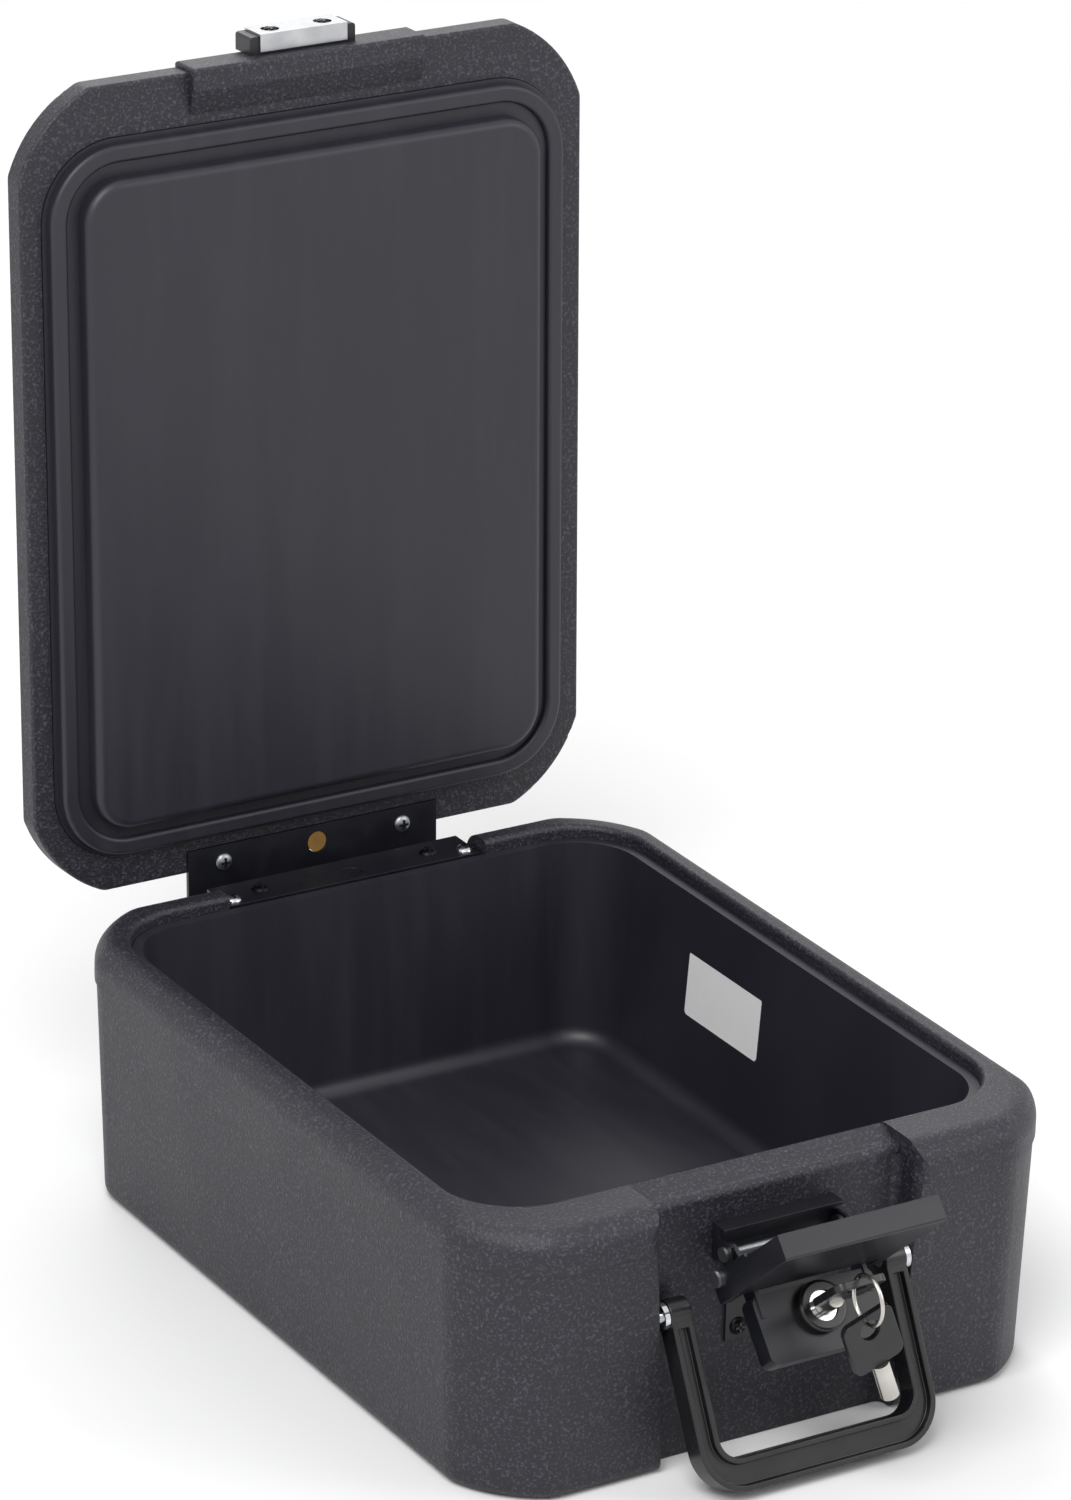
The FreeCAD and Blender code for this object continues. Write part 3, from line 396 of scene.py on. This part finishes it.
class CASHBOX_OT_screws(bpy.types.Operator):
    """Make the pan-head screws of the hinge, the striker and the latch"""

    bl_idname = "cashbox.screws"
    bl_label = "Screws"

    def execute(self, context):
        sizes = context.scene.cash_box_sizes
        made = finishes(context.scene.cash_box_finishes, sizes)
        tree, sockets = screw_tree()
        for name, body, stands_for, seats, turn, metal in SCREW_GROUPS:
            points = [Vector(seat) * MM for seat in seats]
            if body == "lid":
                points = [lid_point(point) for point in points]
            mesh = bpy.data.meshes.new(name)
            mesh.from_pydata([point[:] for point in points], [], [])
            obj = new_piece(name, mesh)
            modifier = obj.modifiers.new("screws", "NODES")
            modifier.node_group = tree
            modifier[sockets["Radius"]] = sizes.head_radius
            modifier[sockets["Height"]] = sizes.head_height
            modifier[sockets["Turn"]] = (math.radians(turn), 0.0, 0.0)
            modifier[sockets["Metal"]] = made[metal]
            # Black plastic on the cross paints the recess's shade
            modifier[sockets["Recess"]] = made["moulded_abs_black"]
            apply_modifiers(obj)
            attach(obj, body)
            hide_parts(*stands_for)
        return {"FINISHED"}


# Pieces whose pressed or moulded edges are eased, with the width of the easing in mm
EASED_EDGES = {
    "claw": 0.35, "lever": 0.35, "latch_plate": 0.3, "hinge_base_leaf": 0.3, "hinge_lid_leaf": 0.3,
    "keeper_body": 0.5, "keeper_plate": 0.2, "handle": 0.6, "key_bow": 0.4, "spare_key_bow": 0.4,
}
EASING_SEGMENTS = 2
# Edges sharper than this are eased, and faces flatter than this to each other are one face
EDGE_ANGLE = math.radians(35.0)
FLAT_ANGLE = math.radians(0.5)
MERGE_DISTANCE = 0.002 * MM
FLAT_WEIGHT = 100


class CASHBOX_OT_eased_edges(bpy.types.Operator):
    """Make the latch, hinge, handle and key pieces again with eased edges that catch the light"""

    bl_idname = "cashbox.eased_edges"
    bl_label = "Eased edges"

    def execute(self, context):
        made = finishes(context.scene.cash_box_finishes, context.scene.cash_box_sizes)
        record = frame["record"]
        finish_of = {solid: name for name, nodes in NODE_FINISH.items() for solid in nodes}
        body_of = {solid: body for body, nodes in record["behaviour"]["bodies"].items() for solid in nodes}
        for solid, width in EASED_EDGES.items():
            shape = bmesh.new()
            shape.from_mesh(frame["nodes"][solid].data)
            bmesh.ops.remove_doubles(shape, verts=shape.verts[:], dist=MERGE_DISTANCE)
            bmesh.ops.dissolve_limit(shape, angle_limit=FLAT_ANGLE, verts=shape.verts[:],
                                     edges=shape.edges[:])
            mesh = bpy.data.meshes.new("eased_" + solid)
            shape.to_mesh(mesh)
            shape.free()
            mesh.materials.clear()
            mesh.materials.append(made[finish_of[solid]])
            mesh.shade_smooth()
            obj = new_piece("eased_" + solid, mesh)
            easing = obj.modifiers.new("easing", "BEVEL")
            easing.width = width * MM
            easing.segments = EASING_SEGMENTS
            easing.limit_method = "ANGLE"
            easing.angle_limit = EDGE_ANGLE
            easing.use_clamp_overlap = True
            # Flats keep their own normals, so only the eased edges shade round
            flats = obj.modifiers.new("flats", "WEIGHTED_NORMAL")
            flats.mode = "FACE_AREA"
            flats.weight = FLAT_WEIGHT
            apply_modifiers(obj)
            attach(obj, body_of[solid])
            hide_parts(solid)
        return {"FINISHED"}


# Label's edges on the right inner wall, in mm: along the wall (y) and up it (z)
LABEL_Y = (24.8, 84.1)
LABEL_Z = (60.0, 90.1)
LABEL_CORNER = 2.0
LABEL_CORNER_STEPS = 4
# The wall leans outwards from its foot, in mm
WALL_FOOT_X = 116.7
WALL_FOOT_Z = 20.0
WALL_SLOPE = 7.0 / 96.0


class CASHBOX_OT_label(bpy.types.Operator):
    """Make the blank label on the right inner wall"""

    bl_idname = "cashbox.label"
    bl_label = "Blank label"

    def execute(self, context):
        sizes = context.scene.cash_box_sizes
        made = finishes(context.scene.cash_box_finishes, sizes)
        shape = bmesh.new()
        rows = []
        for z in LABEL_Z:
            wall_x = WALL_FOOT_X + (z - WALL_FOOT_Z) * WALL_SLOPE
            rows.append([shape.verts.new(Vector((wall_x, y, z)) * MM) for y in LABEL_Y])
        shape.faces.new((rows[0][0], rows[0][1], rows[1][1], rows[1][0]))
        # Slightly rounded corners, then the paper's thickness off the wall
        bmesh.ops.bevel(shape, geom=shape.verts[:], offset=LABEL_CORNER * MM, segments=LABEL_CORNER_STEPS,
                        affect="VERTICES", profile=0.5)
        off_wall = Vector((-sizes.label_thickness, 0, 0))
        back = [corner for face in shape.faces for corner in face.verts]
        front = [shape.verts.new(corner.co + off_wall) for corner in back]
        shape.faces.new(front)
        for i in range(len(back)):
            shape.faces.new((back[i - 1], back[i], front[i], front[i - 1]))
        bmesh.ops.recalc_face_normals(shape, faces=shape.faces[:])
        mesh = bpy.data.meshes.new("blank_label")
        shape.to_mesh(mesh)
        shape.free()
        mesh.materials.append(made["label_paper"])
        obj = new_piece("blank_label", mesh)
        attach(obj, "base")
        return {"FINISHED"}


# Camera fitted to the photograph, which is 1071 pixels wide
CAMERA_PLACE = Vector((-1.40281, -2.27120, 1.34997))
CAMERA_RIGHT = Vector((0.8574, -0.5142, 0.0213))
CAMERA_UP = Vector((0.1804, 0.3391, 0.9233))
CAMERA_AHEAD = Vector((0.4820, 0.7878, -0.3835))
PHOTO_WIDTH = 1071
FOCAL_PIXELS = 6886.48
SENSOR = 36.0
VIEW_LIMIT = 100.0
# Floor: its size, how far it lies under the box, and where it fades out, in metres
FLOOR_RADIUS = 12.0
FLOOR_SEGMENTS = 96
FLOOR_DROP = 0.3 * MM
FADE_FROM = 0.6
FADE_TO = 2.0
# Strength of the white surroundings: as light on the box, and as seen or mirrored
LIGHT_STRENGTH = 0.55
SEEN_STRENGTH = 1.0
# Lamps: name, place, aim and width in metres, power in watts
LAMPS = (
    ("key_lamp", (-1.2, -1.0, 2.2), (0, 0, 0.15), 1.6, 44.0),
    ("fill_lamp", (1.8, -1.6, 1.4), (0, 0, 0.15), 1.4, 14.0),
    ("rim_lamp", (0.6, 1.8, 2.0), (0, 0.1, 0.2), 1.4, 22.0),
)


def painted_floor(look):
    """Matt pale paint that fades out into the white background well away from the box."""
    tree, surface, place = new_material("painted_floor")
    surface.inputs["Base Color"].default_value = look.floor[:]
    surface.inputs["Roughness"].default_value = 0.9
    surface.inputs["Specular IOR Level"].default_value = 0.1
    reach = node(tree, "ShaderNodeVectorMath", {"operation": "LENGTH"}, (), {0: place})
    fade = node(tree, "ShaderNodeMapRange", values={"From Min": FADE_FROM, "From Max": FADE_TO},
                links={"Value": reach.outputs["Value"]})
    clear = node(tree, "ShaderNodeBsdfTransparent")
    faded = node(tree, "ShaderNodeMixShader", links={
        0: fade.outputs["Result"], 1: surface.outputs["BSDF"], 2: clear.outputs["BSDF"]})
    tree.links.new(faded.outputs["Shader"], tree.get_output_node("ALL").inputs["Surface"])
    return bpy.data.materials["painted_floor"]


def white_surroundings():
    """A white world that lights the box gently, and is plain white where it is seen or mirrored."""
    world = bpy.data.worlds.new("studio")
    world.use_nodes = True
    tree = world.node_tree
    tree.nodes.clear()
    path = node(tree, "ShaderNodeLightPath")
    straight = node(tree, "ShaderNodeMath", {"operation": "MAXIMUM"}, (),
                    {0: path.outputs["Is Camera Ray"], 1: path.outputs["Is Transmission Ray"]})
    seen = node(tree, "ShaderNodeMath", {"operation": "MAXIMUM"}, (),
                {0: straight.outputs[0], 1: path.outputs["Is Glossy Ray"]})
    strength = node(tree, "ShaderNodeMapRange", values={"To Min": LIGHT_STRENGTH, "To Max": SEEN_STRENGTH},
                    links={"Value": seen.outputs[0]})
    sky = node(tree, "ShaderNodeBackground", values={"Color": (1, 1, 1, 1)},
               links={"Strength": strength.outputs["Result"]})
    node(tree, "ShaderNodeOutputWorld", links={"Surface": sky.outputs[0]})
    return world


def add_lamp(name, place, aim, size, power):
    """A round soft lamp turned towards a point."""
    lamp = bpy.data.lights.new(name, "AREA")
    lamp.shape = "DISK"
    lamp.size = size
    lamp.energy = power
    obj = new_piece(name, lamp)
    obj.location = place
    obj.rotation_euler = (Vector(aim) - Vector(place)).to_track_quat("-Z", "Y").to_euler()


class CASHBOX_OT_studio(bpy.types.Operator):
    """Make the pale floor, the soft light and the camera"""

    bl_idname = "cashbox.studio"
    bl_label = "Studio"

    def execute(self, context):
        scene = context.scene
        shape = bmesh.new()
        bmesh.ops.create_circle(shape, cap_ends=True, segments=FLOOR_SEGMENTS, radius=FLOOR_RADIUS)
        bmesh.ops.translate(shape, verts=shape.verts[:], vec=(0, 0, -FLOOR_DROP))
        mesh = bpy.data.meshes.new("studio_floor")
        shape.to_mesh(mesh)
        shape.free()
        floor = new_piece("studio_floor", mesh)
        mesh.materials.append(painted_floor(scene.cash_box_finishes))
        scene.world = white_surroundings()
        for lamp in LAMPS:
            add_lamp(*lamp)
        lens = bpy.data.cameras.new("photo_view")
        lens.sensor_fit = "HORIZONTAL"
        lens.sensor_width = SENSOR
        lens.lens = SENSOR * FOCAL_PIXELS / PHOTO_WIDTH
        lens.clip_end = VIEW_LIMIT
        camera = new_piece("photo_view", lens)
        turn = Matrix((CAMERA_RIGHT, CAMERA_UP, -CAMERA_AHEAD)).transposed()
        camera.matrix_world = Matrix.Translation(CAMERA_PLACE) @ turn.to_4x4()
        scene.camera = camera
        scene.view_settings.view_transform = "Standard"
        return {"FINISHED"}


class CASHBOX_PT_panel(bpy.types.Panel):
    """Sidebar panel of the cash box"""

    bl_idname = "CASHBOX_PT_panel"
    bl_label = "Cash Box"
    bl_space_type = "VIEW_3D"
    bl_region_type = "UI"
    bl_category = "Cash Box"

    def draw(self, context):
        for group in (context.scene.cash_box_finishes, context.scene.cash_box_sizes):
            for name in group.bl_rna.properties.keys():
                if name not in ("rna_type", "name"):
                    self.layout.prop(group, name)
        for operator in OPERATORS:
            self.layout.operator(operator.bl_idname)


OPERATORS = (
    CASHBOX_OT_finish_solids,
    CASHBOX_OT_eased_edges,
    CASHBOX_OT_screws,
    CASHBOX_OT_label,
    CASHBOX_OT_studio,
)
CLASSES = (CashBoxFinishes, CashBoxSizes) + OPERATORS + (CASHBOX_PT_panel,)


def register():
    for item in CLASSES:
        bpy.utils.register_class(item)
    bpy.types.Scene.cash_box_finishes = PointerProperty(type=CashBoxFinishes)
    bpy.types.Scene.cash_box_sizes = PointerProperty(type=CashBoxSizes)


def unregister():
    del bpy.types.Scene.cash_box_sizes
    del bpy.types.Scene.cash_box_finishes
    for item in reversed(CLASSES):
        bpy.utils.unregister_class(item)


def main():
    register()
    bpy.ops.cashbox.finish_solids()
    bpy.ops.cashbox.eased_edges()
    bpy.ops.cashbox.screws()
    bpy.ops.cashbox.label()
    bpy.ops.cashbox.studio()


if __name__ == "__main__":
    main()
